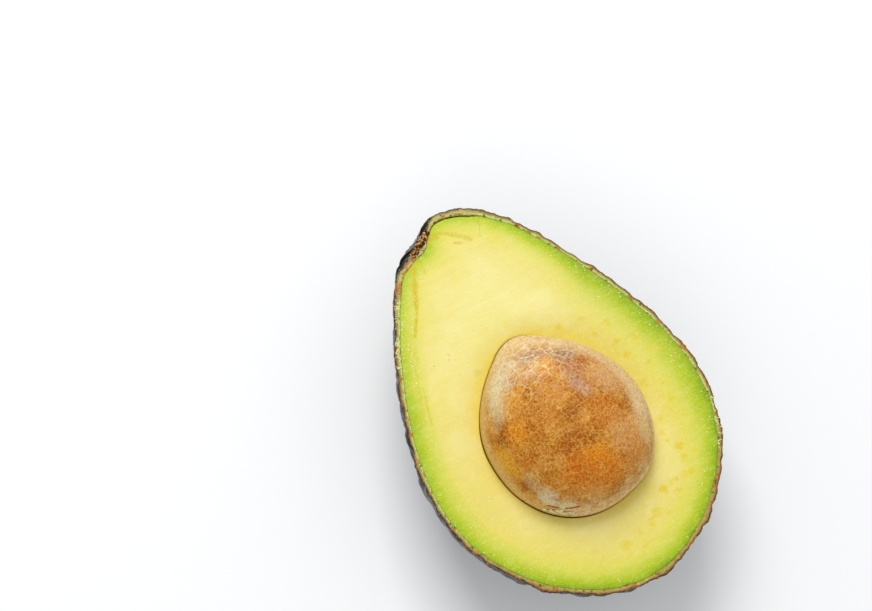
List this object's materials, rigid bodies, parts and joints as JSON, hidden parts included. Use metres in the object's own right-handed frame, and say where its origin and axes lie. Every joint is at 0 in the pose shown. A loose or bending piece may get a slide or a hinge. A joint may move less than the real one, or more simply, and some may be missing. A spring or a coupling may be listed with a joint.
{
  "type": "halved avocado",
  "caption": "Avocado cut in half lengthwise, lying on its back, with pebbled dark peel, green to yellow flesh, a cork stem scar and its round brown stone standing out of the cut.",
  "frame": {"origin": "on the surface that the half lies on, below the middle of its box", "axes": "+Z out of the cut face, straight up; +Y along the fruit, from its round base to its stem; +X across it"},
  "size_m": [0.0723, 0.1003, 0.0499],
  "materials": {
    "peel": "satin",
    "flesh": "satin",
    "stone": "satin",
    "cork": "matte"
  },
  "bodies": {
    "root": {"peel": "peel", "flesh": "flesh", "stone": "stone", "stem_scar": "cork"}
  },
  "joints": []
}
